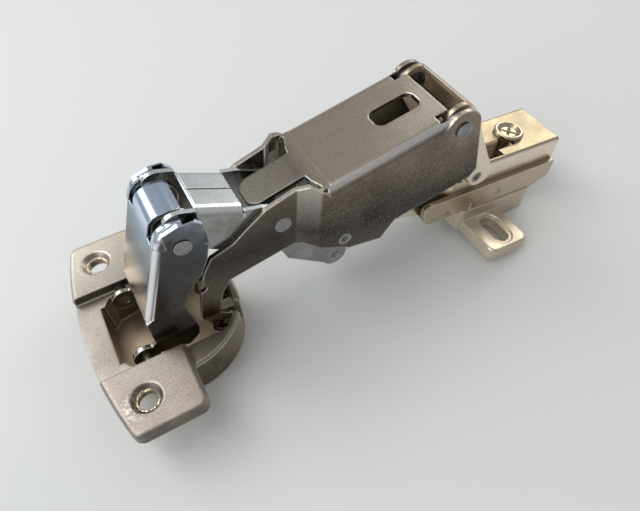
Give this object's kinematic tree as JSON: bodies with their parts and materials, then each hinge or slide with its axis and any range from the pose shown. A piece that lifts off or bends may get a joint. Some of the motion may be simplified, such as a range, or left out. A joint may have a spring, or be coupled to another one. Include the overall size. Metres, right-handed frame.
{
  "type": "concealed cup hinge",
  "caption": "Wide-angle concealed cabinet hinge: a cup with screw ears on a folding linkage of pressed links, with arm and cross mounting plate.",
  "frame": {"origin": "between the two screw slots of the mounting plate, on its underside", "axes": "+X to the rear of the arm, away from the cup; +Y across the hinge; +Z away from the cabinet side the plate is screwed to"},
  "size_m": [0.1346, 0.0576, 0.0571],
  "materials": {
    "cast_nickel": "satin nickel plate on a die casting",
    "sheet_nickel": "satin nickel plate on pressed sheet",
    "bright_nickel": "bright nickel plate",
    "pin_steel": "bright, riveted",
    "spring_steel": "oiled spring wire"
  },
  "bodies": {
    "arm": {"mounting_plate": "cast_nickel", "arm_carrier": "sheet_nickel", "hinge_arm": "sheet_nickel", "locking_screw": "bright_nickel", "arm_front_pin": "pin_steel", "arm_rear_pin": "pin_steel"},
    "rear_link": {"rear_link": "bright_nickel", "closing_spring": "spring_steel"},
    "short_link": {"short_link": "bright_nickel"},
    "outer_link": {"outer_link": "sheet_nickel", "rear_joint_pin": "pin_steel", "rear_joint_washers": "pin_steel", "guide_rivets": "pin_steel", "scissor_pin": "pin_steel"},
    "front_link": {"front_link": "bright_nickel", "cap_pin": "pin_steel"},
    "cup": {"hinge_cup": "cast_nickel", "cup_front_pins": "pin_steel", "cup_rear_pin": "pin_steel"}
  },
  "joints": [
    {"name": "fold", "type": "hinge", "parent": "arm", "child": "short_link", "pos_m": [-0.04763, 0, 0.0076], "axis": [0, -1, 0], "range_deg": [-86.6, 45.4]},
    {"name": "outer_turn", "type": "hinge", "parent": "short_link", "child": "outer_link", "pos_m": [-0.06285, 0, 0.02681], "axis": [0, -1, 0], "range_deg": [-42.1, 80.2]},
    {"name": "rear_turn", "type": "hinge", "parent": "arm", "child": "rear_link", "pos_m": [-0.00652, 0, 0.01977], "axis": [0, -1, 0], "range_deg": [-88.2, 46.3]},
    {"name": "front_turn", "type": "hinge", "parent": "short_link", "child": "front_link", "pos_m": [-0.0855, 0, 0.03203], "axis": [0, -1, 0], "range_deg": [-40.1, 76.4]},
    {"name": "cup_turn", "type": "hinge", "parent": "front_link", "child": "cup", "pos_m": [-0.09849, 0, 0.00023], "axis": [0, -1, 0], "range_deg": [-85.1, 44.7]}
  ],
  "couplings": [
    {"joint": "outer_turn", "follows": "fold", "ratio": -0.9241},
    {"joint": "rear_turn", "follows": "fold", "ratio": 1.0171},
    {"joint": "front_turn", "follows": "fold", "ratio": -0.88076},
    {"joint": "cup_turn", "follows": "fold", "ratio": 0.98075}
  ]
}
